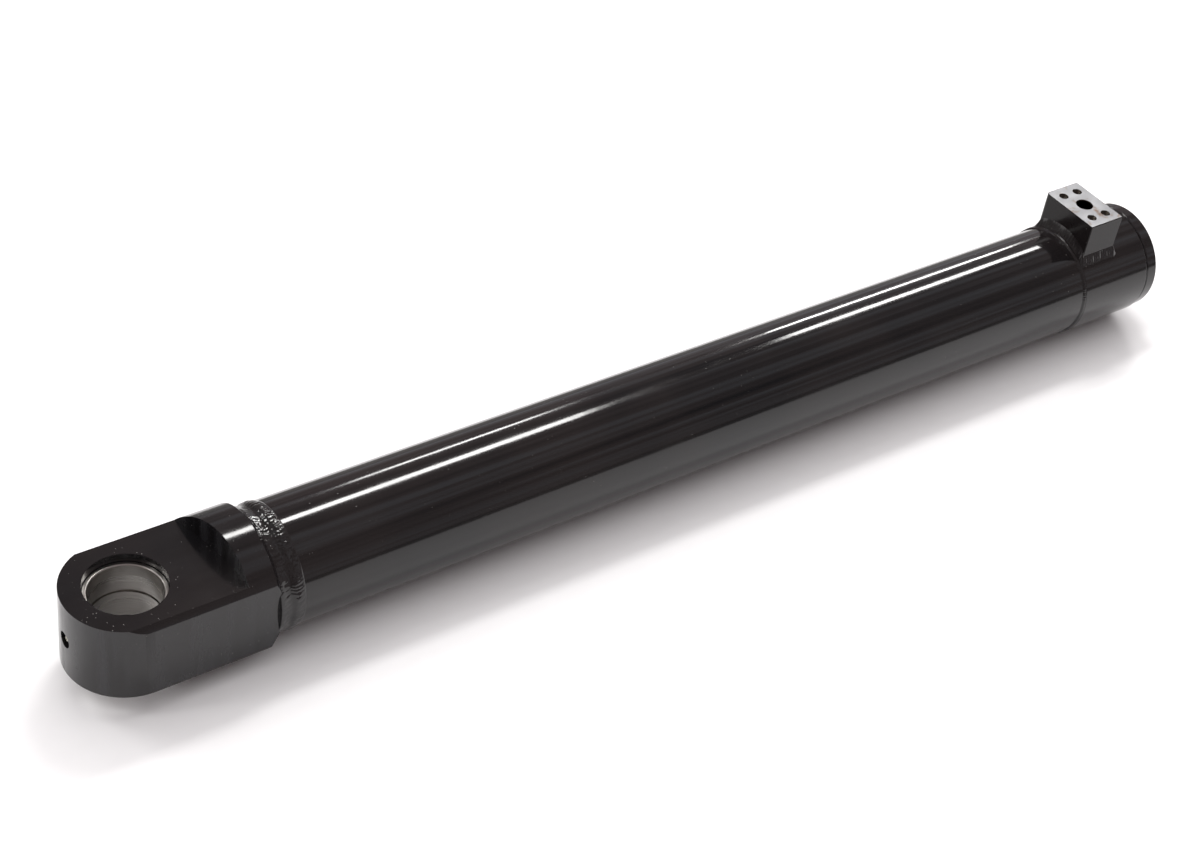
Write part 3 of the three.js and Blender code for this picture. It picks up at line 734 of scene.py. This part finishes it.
def weld_ripples(count, depth, slant, low, high, seed):
    """Scalloped ripples round a bead that fade out towards its edges."""
    def warp(axial, turn, radius):
        across = (axial - low) / (high - low)
        if not 0 < across < 1:
            return radius
        fade = math.sin(math.pi * across) ** 0.7
        drift = noise.noise(Vector((seed, 2 * math.cos(turn), 2 * math.sin(turn))))
        phase = count * (turn + 0.12 * drift) + slant * (2 * across - 1) ** 2 * math.pi
        patch = noise.noise(Vector((axial * 0.2, 3 * math.cos(turn), 3 * math.sin(turn) + 2 * seed)))
        scallop = (abs(math.sin(phase / 2)) ** 0.8 - 0.6) * (0.45 + 1.4 * max(0.0, patch))
        place = Vector((axial * 0.16, 13 * math.cos(turn), 13 * math.sin(turn) + seed))
        lumps = noise.noise(place) + 0.5 * noise.noise(2.3 * place)
        strength = max(0.1, 0.45 + 1.3 * drift)
        return radius + fade * depth * (scallop * strength + 0.7 * lumps)
    return warp


def base_weld():
    low, high = span("base_weld")
    start = low.x
    profile = spaced(rounded([
        (start - 1.2, 57.5),
        (start + 20, 57.5),
        (start + 27, 63.2),
        (start + 25, 64.2),
        (start + 22, 64.8, 2),
        (start + 18, high.z - 0.7, 2),
        (start + 15, 65.0, 2),
        (start + 11.5, 63.0, 2),
        (start + 7, 63.6, 2),
        (start + 2, 65.4, 2),
        (start - 1.2, 65.8),
    ], 0.5), 0.7)
    upper = weld_ripples(84, 0.62, 1.3, start + 10, start + 26, 1.7)
    lower = weld_ripples(62, 0.5, 1.1, start - 2, start + 13, 8.3)
    top_turn = math.radians(-48)

    def bead(axial, turn, radius):
        if radius < 62.5:
            return radius
        sag = 1.4 * max(0.0, math.cos(turn - top_turn)) ** 3
        hollow = sag * math.exp(-((axial - start - 11.5) / 3.2) ** 2)
        ripples = lower(axial, turn, radius) + upper(axial, turn, radius) - 2 * radius
        return min(high.z, radius + ripples - hollow)

    weld = lathe(profile, WELD_SIDES, ALONG_X, bead)
    return add_piece("base_weld", weld, [WELD_PAINT], 60)


def collar_weld():
    low, high = span("collar_weld")
    profile = spaced(rounded([
        (low.x - 1.6, 62.5),
        (high.x + 1, 62.5),
        (high.x + 1, 65.2),
        (high.x - 0.9, 65.25),
        (low.x + 0.3, 64.9),
        (low.x - 1.6, 63.4),
    ], 0.6), 0.4)
    ripples = weld_ripples(150, 0.35, 0.9, low.x - 1.6, high.x + 1, 4.1)

    def outside(axial, turn, radius):
        return ripples(axial, turn, radius) if radius > 63 else radius

    weld = lathe(profile, WELD_SIDES, ALONG_X, outside)
    return add_piece("collar_weld", weld, [WELD_PAINT], 60)


def lock_screw_direction():
    return Vector((0, math.cos(LOCK_SCREW_ANGLE), math.sin(LOCK_SCREW_ANGLE)))


def head_collar():
    low, high = span("head_collar")
    outer_r = high.z
    bore_r = span("barrel_tube")[1].z - TUBE_WALL
    profile = rounded([
        (low.x, bore_r),
        (COLLAR_THREAD_START, bore_r),
        (COLLAR_THREAD_START + 3, COLLAR_THREAD_R),
        (high.x, COLLAR_THREAD_R),
        (high.x, outer_r - 1.5),
        (high.x - 1.5, outer_r),
        (low.x + 0.8, outer_r),
        (low.x, outer_r - 0.8),
    ], 0.5)
    top = Vector((block_centre.x, 0, outer_r + 1))
    port = drill(PORT_BORE_R, top, (0, 0, -1), 15)
    screw_x = sum(corner.x for corner in span("gland_lock_screw")) / 2
    direction = lock_screw_direction()
    outside = Vector((screw_x, 0, 0)) + direction * (outer_r + 1)
    screw = drill(LOCK_SCREW_R + CLEARANCE, outside, -direction, 10)
    body = combined(lathe(profile, TUBE_SIDES), [port, screw])
    return add_piece("head_collar", body, [PAINT], 35)


# Port block and its weld

def block_outline(inset=0.0):
    """The block from above, centred on the origin, with its corners rounded."""
    x, y = block_high.x - block_centre.x - inset, block_high.y - inset
    corners = [
        (-x, -y, BLOCK_CORNER_R, 180),
        (x, -y, BLOCK_CORNER_R, 270),
        (x, y, BLOCK_CORNER_R, 0),
        (-x, y, BLOCK_FAR_CORNER_R, 90),
    ]
    points = []
    for cx, cy, r, start in corners:
        r = max(r - inset, 0.1)
        centre = (cx - math.copysign(r, cx), cy - math.copysign(r, cy))
        points += arc(centre, r, start, start + 90, 8)
    return points


def port_block():
    foot = block_low.z - 2
    edge = BLOCK_EDGE_R
    levels = [(foot, 0.0), (block_high.z - edge, 0.0)]
    for step in range(1, 5):
        turn = math.radians(90 * step / 4)
        levels.append((block_high.z - edge * (1 - math.sin(turn)), edge * (1 - math.cos(turn))))
    sections = [
        [Vector((block_centre.x + u, v, z)) for u, v in block_outline(inset)] for z, inset in levels
    ]
    seat_r = span("head_collar")[1].z - 0.4
    start, end = block_low.x - 10, block_high.x + 10
    seat = lathe([(start, 0), (start, seat_r), (end, seat_r), (end, 0)])
    face = Vector((block_centre.x, 0, block_high.z))
    cutters = flange_port_cutters(face, (0, 0, -1), (0, 1, 0), 60)
    body = combined(loft(sections, closed=False), [seat, *cutters])

    def on_face(centre, normal):
        return centre.z > block_high.z - 0.2 and normal.z > 0.9

    def in_holes(centre, normal):
        inner_x = abs(centre.x - block_centre.x) < TAP_AXIAL / 2 + TAP_R + 2
        inner_y = abs(centre.y) < TAP_ACROSS / 2 + TAP_R + 2
        return inner_x and inner_y and seat_r < centre.z < block_high.z - 0.01 and normal.z < 0.9

    # The hole walls take the near-black drilled steel, which paints the shade inside the holes
    give_faces(body, 2, in_holes)
    give_faces(body, 1, on_face)
    return add_piece("port_block", body, [BLOCK_PAINT, PORT_STEEL, HOLE_STEEL_PAINTED_SHADE], 30)


def block_weld_path(step):
    """Points round the block's foot: place, outward direction, leg along the collar and up the wall."""
    outline = spaced(block_outline(), step)
    count = len(outline)
    path = []
    for i, here in enumerate(outline):
        before, after = Vector(outline[i - 1]), Vector(outline[(i + 1) % count])
        along = (after - before).normalized()
        outward = Vector((along.y, -along.x))
        tube_side = max(0.0, -outward.x) ** 2
        reach = 6.0 + (3.4 - 6.0) * tube_side
        height = 7.0 + (11.5 - 7.0) * tube_side
        path.append((Vector(here), outward, reach, height))
    return path


def port_block_weld():
    surface_r = span("head_collar")[1].z
    steps = 12
    sections = []
    travelled = 0.0
    path = block_weld_path(WELD_POINT_SPACING)
    for index, (point, outward, reach, height) in enumerate(path):
        travelled += (point - path[index - 1][0]).length if index else 0.0
        sunk = point - outward * 2
        toe = point + outward * reach

        def on_collar(flat, lift=0.0):
            y = flat.y
            return Vector((block_centre.x + flat.x, y, math.sqrt(surface_r ** 2 - y ** 2) + lift))

        root = on_collar(sunk, -1.5)
        low = on_collar(toe, -0.35)
        high = on_collar(point, height)
        corner = on_collar(point + outward * reach * 0.18, height * 0.16)
        section = [root, on_collar(toe, -1.6)]
        lump = noise.noise(Vector((travelled * 0.11, 2.0, 7.0)))
        for i in range(steps + 1):
            t = i / steps
            place = low * (1 - t) ** 2 + corner * 2 * t * (1 - t) + high * t ** 2
            swell = math.sin(math.pi * t)
            phase = travelled / 1.9 * math.pi + 1.2 * (2 * t - 1) ** 2 + 2.0 * lump
            ripple = math.sin(phase) * 0.16
            away = Vector((outward.x, outward.y, 0.8)).normalized()
            section.append(place + away * swell * (ripple + 0.9 * lump + 0.9))
        section.append(on_collar(sunk, height))
        sections.append(section)
    return add_piece("port_block_weld", loft(sections), [WELD_PAINT], 60)


# Gland and its seals

def gland():
    low, high = span("gland")
    collar_end = span("head_collar")[1].x
    thread_r = COLLAR_THREAD_R - CLEARANCE
    wiper_start = high.x - WIPER_SEAT_DEPTH
    inner = [point for groove in GLAND_GROOVES for point in groove_points(groove, GLAND_BORE_R)]
    outer = groove_points(GLAND_OUTER_GROOVE, GLAND_SEAL_R)[::-1]
    profile = rounded([
        (low.x, GLAND_BORE_R),
        *inner,
        (wiper_start, GLAND_BORE_R),
        (wiper_start, WIPER_SEAT_R),
        (high.x, WIPER_SEAT_R),
        (high.x, high.z - 1.6, 1.0),
        (high.x - 1.6, high.z, 1.0),
        (GLAND_FLANGE_START + 1.3, high.z, 0.4),
        (GLAND_FLANGE_START, high.z - 1.3, 0.4),
        (GLAND_FLANGE_START, thread_r - 2),
        (collar_end - 4, thread_r - 2),
        (collar_end - 4, thread_r),
        (COLLAR_THREAD_START + 4, thread_r),
        (COLLAR_THREAD_START + 4, GLAND_SEAL_R),
        *outer,
        (GLAND_SEAL_START, GLAND_SEAL_R),
        (GLAND_SEAL_START, GLAND_NOSE_R),
        (low.x, GLAND_NOSE_R),
    ], 0.5)
    holes = []
    for i in range(4):
        turn = TAU * (i + 0.5) / 4
        y, z = GLAND_SPANNER_CIRCLE_R * math.cos(turn), GLAND_SPANNER_CIRCLE_R * math.sin(turn)
        holes.append(drill(GLAND_SPANNER_R, Vector((high.x, y, z)), (-1, 0, 0), GLAND_SPANNER_DEPTH, 0.6))
    return add_piece("gland", combined(lathe(profile), holes), [PAINT], 35)


def gland_lock_screw():
    low, high = span("gland_lock_screw")
    centre_x = (low.x + high.x) / 2
    place = facing((centre_x, 0, 0), lock_screw_direction())
    start, end = COLLAR_THREAD_R + CLEARANCE, span("head_collar")[1].z - 0.8
    profile = rounded([
        (start, 0),
        (start, LOCK_SCREW_R - 0.6),
        (start + 0.6, LOCK_SCREW_R),
        (end, LOCK_SCREW_R),
        (end, 0),
    ], 0.3)
    body = lathe(profile, SMALL, place)
    socket = prism(arc((0, 0), 2.3, 0, 300, 5), end - 3.2, end + 1, place)
    return add_piece("gland_lock_screw", combined(body, [socket]), [DARK_STEEL])


def split_ring(profile, width, outer_r, gap=1.6):
    """A turned ring with a slanted cut through it at the top, as a wear ring has."""
    body = lathe(profile, MEDIUM)
    centre_x = sum(point[0] for point in profile) / len(profile)
    place = Matrix.Translation((centre_x, 0, outer_r)) @ Matrix.Rotation(math.radians(35), 4, "Z")
    cutter = box_mesh((-width, -gap / 2, -15), (width, gap / 2, 5))
    cutter.transform(place)
    return combined(body, [cutter])


def ring_piece(node, inner_r, material, split=False, profile=None):
    low, high = span(node)
    shape = rounded(profile or ring_profile(low.x, high.x, inner_r, high.z), 0.4)
    mesh = split_ring(shape, high.x - low.x, high.z) if split else lathe(shape, MEDIUM)
    return add_piece(node, mesh, [material])


def lipped_profile(node, inner_r, groove_depth):
    """A U-shaped seal: a body with two lips that open towards the pressure."""
    low, high = span(node)
    middle = (inner_r + high.z) / 2
    mouth = low.x
    return [
        (mouth, inner_r, 0.2),
        (high.x, inner_r + 0.5),
        (high.x, high.z - 0.3),
        (mouth, high.z, 0.2),
        (mouth, middle + 1.6),
        (mouth + groove_depth, middle + 0.3),
        (mouth + groove_depth, middle - 0.3),
        (mouth, middle - 1.6),
    ]


def wiper_seal():
    low, high = span("wiper_seal")
    lip_r = ROD_LIP_R
    profile = rounded([
        (low.x, lip_r + 1.5),
        (high.x - 3, lip_r + 1.2),
        (high.x, lip_r, 0.2),
        (high.x, lip_r + 1.6),
        (high.x - 1.6, lip_r + 3.6),
        (high.x - 1.6, high.z),
        (low.x, high.z),
    ], 0.5)
    return add_piece("wiper_seal", lathe(profile, MEDIUM), [BLUE_POLYURETHANE])


def round_ring(node, material):
    low, high = span(node)
    section_r = (high.x - low.x) / 2
    profile = round_section((low.x + high.x) / 2, high.z - section_r, section_r)
    return add_piece(node, lathe(profile, MEDIUM), [material])


# Rod, piston and their fastenings

def piston_rod():
    low, high = span("piston_rod")
    shoulder = span("piston")[1].x + CLEARANCE
    profile = rounded([
        (low.x, 0),
        (low.x, ROD_SEAT_R - 2),
        (low.x + 2, ROD_SEAT_R),
        (shoulder, ROD_SEAT_R, 0.8),
        (shoulder, high.z - 2),
        (shoulder + 2, high.z),
        (high.x - 2, high.z),
        (high.x, high.z - 2),
        (high.x, 0),
    ], 0.5)
    end = Vector((high.x, 0, 0))
    tap = thread_cutter(ROD_TAP_R, ROD_TAP_PITCH, end, (-1, 0, 0), ROD_TAP_DEPTH, TAP_SIDES)
    start, wide = high.x - ROD_FLATS_LENGTH, 2 * high.z
    flats = [
        box_mesh((start, side * ROD_FLATS_HALF if side > 0 else -wide, -wide),
                 (high.x + 2, wide if side > 0 else side * ROD_FLATS_HALF, wide))
        for side in (-1, 1)
    ]
    body = combined(lathe(profile, FINE), [tap, *flats])

    def unplated(centre, normal):
        on_end = centre.x > start - 0.1 and (abs(normal.x) > 0.4 or abs(centre.y) > ROD_FLATS_HALF - 0.1)
        in_tap = centre.x > start - ROD_TAP_DEPTH and math.hypot(centre.y, centre.z) < ROD_TAP_R + 4
        return on_end or in_tap or centre.x < shoulder + 0.1

    give_faces(body, 1, unplated)
    return add_piece("piston_rod", body, [CHROME, END_STEEL], 35)


def piston():
    low, high = span("piston")
    bore_r = ROD_SEAT_R + CLEARANCE
    grooves = [point for groove in PISTON_GROOVES for point in groove_points(groove, high.z)]
    profile = rounded([
        (low.x, bore_r),
        (low.x, high.z - 2),
        (low.x + 2, high.z),
        *grooves,
        (high.x - 2, high.z),
        (high.x, high.z - 2),
        (high.x, bore_r),
        *groove_points(PISTON_BORE_GROOVE, bore_r)[::-1],
    ], 0.5)
    return add_piece("piston", lathe(profile, MEDIUM), [END_STEEL], 35)


def nut_screw_axis():
    low, high = span("piston_nut")
    return Vector(((low.x + high.x) / 2, 0, 0))


def piston_nut():
    low, high = span("piston_nut")
    corner_r = max(high.y, high.z)
    turned = 0 if high.z > high.y else 30
    place = ALONG_X @ Matrix.Rotation(math.radians(turned), 4, "Z")
    hexagon = prism(arc((0, 0), corner_r, 0, 300, 5), low.x, high.x, place)
    crown = lathe([
        (low.x - 1, 0),
        (low.x - 1, corner_r - 5),
        (low.x + 2.6, corner_r + 0.5),
        (high.x - 2.6, corner_r + 0.5),
        (high.x + 1, corner_r - 5),
        (high.x + 1, 0),
    ], MEDIUM)
    bore_r = ROD_SEAT_R + CLEARANCE
    bore = lathe([(low.x - 2, 0), (low.x - 2, bore_r), (high.x + 2, bore_r), (high.x + 2, 0)], MEDIUM)
    mouth = nut_screw_axis() + Vector((0, corner_r, 0))
    screw = drill(SET_SCREW_R + CLEARANCE, mouth, (0, -1, 0), corner_r - 20)
    body = combined(combined(hexagon, [crown], "INTERSECT"), [bore, screw])
    return add_piece("piston_nut", softened(body, 0.5), [DARK_STEEL])


def nut_set_screw():
    low, high = span("nut_set_screw")
    place = facing(nut_screw_axis(), (0, 1, 0))
    profile = rounded([
        (low.y, 0),
        (low.y, SET_SCREW_R - 0.6),
        (low.y + 0.6, SET_SCREW_R),
        (high.y, SET_SCREW_R),
        (high.y, 0),
    ], 0.25)
    body = lathe(profile, SMALL, place)
    socket = prism(arc((0, 0), 1.7, 0, 300, 5), high.y - 3, high.y + 1, place)
    return add_piece("nut_set_screw", combined(body, [socket]), [DARK_STEEL])


base_eye()
eye_bushing()
grease_fitting()
base_weld()
barrel_tube()
collar_weld()
head_collar()
port_block()
port_block_weld()
gland()
gland_lock_screw()
wiper_seal()
round_ring("gland_o_ring", RUBBER)
ring_piece("gland_backup_ring", BACKUP_RING_R, BRONZE_PTFE, split=True)
ring_piece("rod_wear_band_inner", ROD_LIP_R, PHENOLIC, split=True)
ring_piece("rod_wear_band_outer", ROD_LIP_R, PHENOLIC, split=True)
ring_piece("rod_buffer_seal", ROD_LIP_R, BRONZE_PTFE)
rod_seal_shape = lipped_profile("rod_seal", ROD_LIP_R, 3.5)
ring_piece("rod_seal", ROD_LIP_R, RED_POLYURETHANE, profile=rod_seal_shape)
ring_piece("piston_wear_ring_rear", WEAR_RING_R, PHENOLIC, split=True)
ring_piece("piston_wear_ring_front", WEAR_RING_R, PHENOLIC, split=True)
ring_piece("piston_seal", PISTON_SEAL_R, BRONZE_PTFE)
ring_piece("piston_seal_energizer", ENERGIZER_R, RUBBER)
piston_rod()
piston()
round_ring("piston_o_ring", RUBBER)
piston_nut()
nut_set_screw()


# Studio: floor, lights and camera

FLOOR_HALF = 30.0
FRONT_SURROUND_Y = -0.88
BACK_SURROUND_Y = 0.41
TUBE_TOP = 0.0635
LIGHT_HEIGHT = 2.3
SUN_STRENGTH = 2.2
SUN_SPREAD = 100
# A strip: its name, middle x, y, length along X, width and radiance.
STRIPS = (
    ("main_near", 1.42, 1.01, 1.1, 0.34, 25.0),
    ("main_far", 3.25, 1.59, 0.95, 0.34, 25.0),
    ("thin_near", 2.5, 3.62, 0.7, 0.26, 20.0),
    ("thin_far", 5.15, 4.8, 1.3, 0.4, 26.0),
    ("back_left", -1.5, 2.6, 1.2, 0.4, 20.0),
    ("front_left", -2.2, 0.6, 0.9, 0.4, 14.0),
)


def plane(name, low, high, z, material):
    corners = [(low[0], low[1], z), (high[0], low[1], z), (high[0], high[1], z), (low[0], high[1], z)]
    mesh = bpy.data.meshes.new(name)
    mesh.from_pydata(corners, [], [(0, 1, 2, 3)])
    mesh.materials.append(material)
    sheet = bpy.data.objects.new(name, mesh)
    bpy.context.scene.collection.objects.link(sheet)
    return sheet


def paper(name, tint, rough=0.7):
    look = Shader(name)
    base = look.mix(look.level(look.grain(40, 3), 0.3, 0.7), rgb(*[0.985 * c for c in tint]), rgb(*tint))
    look.surface.inputs["Roughness"].default_value = rough
    return look.finish(base)


def studio_floor():
    """A pale floor, with dark surrounds that show only in reflections."""
    floor_z = cad_low.z
    plane("floor", (-FLOOR_HALF,) * 2, (FLOOR_HALF,) * 2, floor_z, paper("pale_paper", (0.86, 0.86, 0.865)))
    dark = paper("dark_surround", (0.16, 0.155, 0.15))
    skirts = (
        ("front_surround", -FLOOR_HALF, FRONT_SURROUND_Y),
        ("back_surround", BACK_SURROUND_Y, FLOOR_HALF),
    )
    for name, near, far in skirts:
        skirt = plane(name, (-FLOOR_HALF, near), (FLOOR_HALF, far), floor_z + 0.002, dark)
        skirt.visible_camera = False
        skirt.visible_diffuse = False
        skirt.visible_shadow = False
        skirt.visible_transmission = False


def strip_light(name, x, y, length, width, radiance):
    data = bpy.data.lights.new(name, "AREA")
    data.shape = "RECTANGLE"
    data.size = length
    data.size_y = width
    data.energy = radiance * math.pi * length * width
    data.color = (1.0, 0.99, 0.975)
    light = bpy.data.objects.new(name, data)
    light.location = (x, y, TUBE_TOP + LIGHT_HEIGHT)
    across = Vector((0, -y, -LIGHT_HEIGHT)).normalized()
    along = Vector((1, 0, 0))
    light.rotation_euler = Matrix((along, along.cross(across), -across)).transposed().to_euler()
    bpy.context.scene.collection.objects.link(light)


def soft_sun():
    data = bpy.data.lights.new("soft_fill", "SUN")
    data.energy = SUN_STRENGTH
    data.angle = math.radians(SUN_SPREAD)
    sun = bpy.data.objects.new("soft_fill", data)
    sun.rotation_euler = (math.radians(-8), math.radians(6), 0)
    sun.visible_glossy = False
    bpy.context.scene.collection.objects.link(sun)


def surroundings():
    """A dim room in soft bands for the object to reflect, and a pale backdrop past the floor."""
    world = bpy.data.worlds.new("surroundings")
    world.use_nodes = True
    tree = world.node_tree
    tree.nodes.clear()

    def add(kind, inputs, **settings):
        node = tree.nodes.new("ShaderNode" + kind)
        for key, value in settings.items():
            setattr(node, key, value)
        for key, value in inputs.items():
            if isinstance(value, bpy.types.NodeSocket):
                tree.links.new(value, node.inputs[key])
            else:
                node.inputs[key].default_value = value
        return node

    direction = add("TexCoord", {}).outputs["Generated"]
    parts = add("SeparateXYZ", {0: direction})
    turn = add("Math", {0: parts.outputs["Y"], 1: parts.outputs["Z"]}, operation="ARCTAN2")
    along = add("Math", {0: parts.outputs["X"], 1: 0.35}, operation="MULTIPLY")
    place = add("CombineXYZ", {"X": turn.outputs[0], "Y": along.outputs[0]})
    bands = add("TexNoise", {"Vector": place.outputs[0], "Scale": 3.4, "Detail": 5.0, "Roughness": 0.62})
    ramp = add("ValToRGB", {"Fac": bands.outputs["Fac"]})
    stops = ((0.36, rgb(0.13, 0.12, 0.125)), (0.5, rgb(0.42, 0.34, 0.33)), (0.66, rgb(0.86, 0.88, 0.95)))
    ramp.color_ramp.elements.new(stops[1][0])
    for element, (position, colour) in zip(ramp.color_ramp.elements, stops):
        element.position, element.color = position, colour
    room = add("Background", {"Color": ramp.outputs["Color"], "Strength": 0.75})
    backdrop = add("Background", {"Color": rgb(1.0, 1.0, 1.0)})
    path = add("LightPath", {})
    inputs = {0: path.outputs["Is Camera Ray"], 1: room.outputs[0], 2: backdrop.outputs[0]}
    mix = add("MixShader", inputs)
    add("OutputWorld", {"Surface": mix.outputs[0]})
    bpy.context.scene.world = world


# The camera stands where the photograph was taken from. Its heading runs from +X
# towards +Y, its dip is below the horizon, and its roll is about its own view.
CAMERA_PLACE = (-0.64928, -1.36397, 1.53493)
CAMERA_HEADING = 48.97
CAMERA_DIP = 39.872
CAMERA_ROLL = 9.248
CAMERA_LENS = 67.94


def studio_camera():
    data = bpy.data.cameras.new("camera")
    data.lens = CAMERA_LENS
    data.sensor_width = 36
    data.clip_start = 0.05
    data.clip_end = 200
    camera = bpy.data.objects.new("camera", data)
    heading = Matrix.Rotation(math.radians(CAMERA_HEADING - 90), 4, "Z")
    dip = Matrix.Rotation(math.radians(90 - CAMERA_DIP), 4, "X")
    roll = Matrix.Rotation(math.radians(CAMERA_ROLL), 4, "Z")
    camera.matrix_world = Matrix.Translation(CAMERA_PLACE) @ heading @ dip @ roll
    bpy.context.scene.collection.objects.link(camera)
    bpy.context.scene.camera = camera


studio_floor()
for strip in STRIPS:
    strip_light(*strip)
soft_sun()
surroundings()
studio_camera()
bpy.context.scene.view_settings.view_transform = "Standard"
